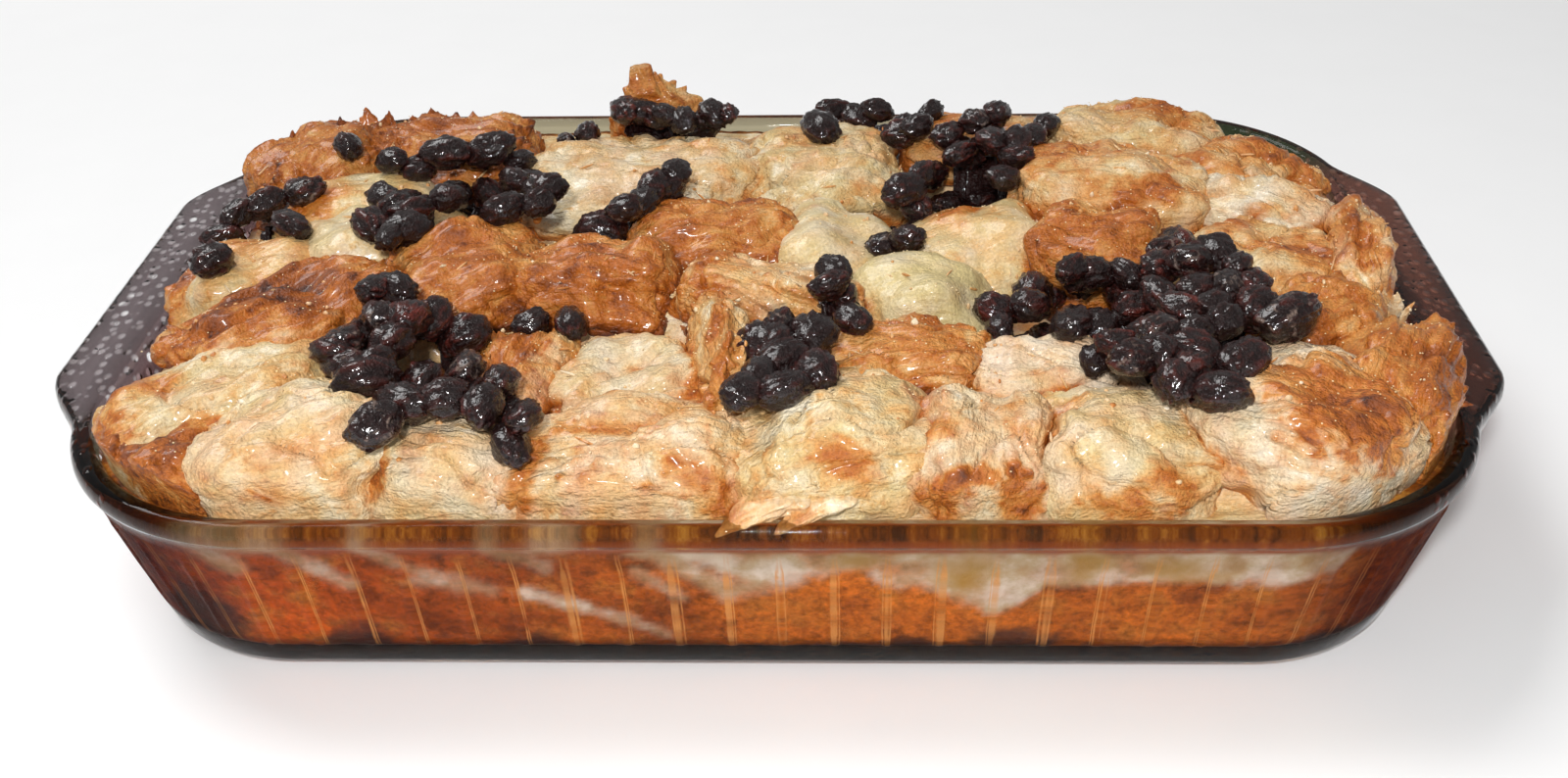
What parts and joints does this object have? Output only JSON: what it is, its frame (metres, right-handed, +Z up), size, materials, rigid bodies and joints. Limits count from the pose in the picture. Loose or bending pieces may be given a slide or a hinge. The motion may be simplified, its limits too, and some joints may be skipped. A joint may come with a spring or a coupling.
{
  "type": "bread pudding",
  "caption": "Baked bread pudding with raisins, heaped with torn browned bread, in its oblong clear glass baking dish with a flat lug at each end.",
  "frame": {"origin": "middle of the dish's underside, on the surface that it stands on", "axes": "+X along the dish's length to its right-hand lug, +Z up, and -Y to the long side that faces the viewer"},
  "size_m": [0.374, 0.242, 0.0814],
  "materials": {
    "amber_glass": "gloss",
    "baked_pudding": "satin",
    "bread_crust": "satin",
    "bread_crumb": "satin",
    "raisin_skin": "gloss"
  },
  "bodies": {
    "root": {"bread_back_brown_crust": "bread_crust", "bread_back_left_crust": "bread_crust", "bread_back_long_loaf": "bread_crumb", "bread_back_middle_bun": "bread_crumb", "bread_back_peak": "bread_crumb", "bread_back_red_crust": "bread_crust", "bread_back_right_bun": "bread_crumb", "bread_back_right_crust": "bread_crust", "bread_brown_square": "bread_crust", "bread_custard_hollow": "bread_crumb", "bread_flaky_crust_back": "bread_crust", "bread_flaky_crust_left": "bread_crust", "bread_flaky_crust_middle": "bread_crust", "bread_front_left_bun": "bread_crumb", "bread_front_left_corner": "bread_crumb", "bread_front_left_dome": "bread_crumb", "bread_front_long_roll": "bread_crumb", "bread_front_middle_bun": "bread_crumb", "bread_front_middle_crumb": "bread_crumb", "bread_front_right_bun": "bread_crumb", "bread_front_right_crumb": "bread_crumb", "bread_left_back_arch": "bread_crumb", "bread_left_edge_roll": "bread_crumb", "bread_left_long_slice": "bread_crumb", "bread_left_pale_bun": "bread_crumb", "bread_left_striped_crust": "bread_crust", "bread_middle_brown": "bread_crust", "bread_middle_crumb": "bread_crumb", "bread_pale_square": "bread_crumb", "bread_raisin_bed": "bread_crumb", "bread_ridged_slice": "bread_crumb", "bread_right_fold": "bread_crumb", "bread_right_golden_slice": "bread_crumb", "bread_right_heel": "bread_crumb", "bread_right_pale_crumb": "bread_crumb", "bread_right_pale_slice": "bread_crumb", "bread_right_torn_crust": "bread_crust", "bread_split_roll": "bread_crumb", "bread_upright_crust": "bread_crust", "bread_yellow_dome": "bread_crumb", "glass_dish": "amber_glass", "pudding_body": "baked_pudding", "raisin_back_large": "raisin_skin", "raisin_left_edge": "raisin_skin", "raisin_left_slope": "raisin_skin", "raisins_back_left": "raisin_skin", "raisins_back_right_lower": "raisin_skin", "raisins_back_right_upper": "raisin_skin", "raisins_back_rim": "raisin_skin", "raisins_back_slope": "raisin_skin", "raisins_centre": "raisin_skin", "raisins_centre_front": "raisin_skin", "raisins_front_left_lower": "raisin_skin", "raisins_front_left_upper": "raisin_skin", "raisins_left_middle": "raisin_skin", "raisins_left_rim": "raisin_skin", "raisins_middle_row": "raisin_skin", "raisins_right_arm": "raisin_skin", "raisins_right_front": "raisin_skin", "raisins_right_main": "raisin_skin"}
  },
  "joints": []
}
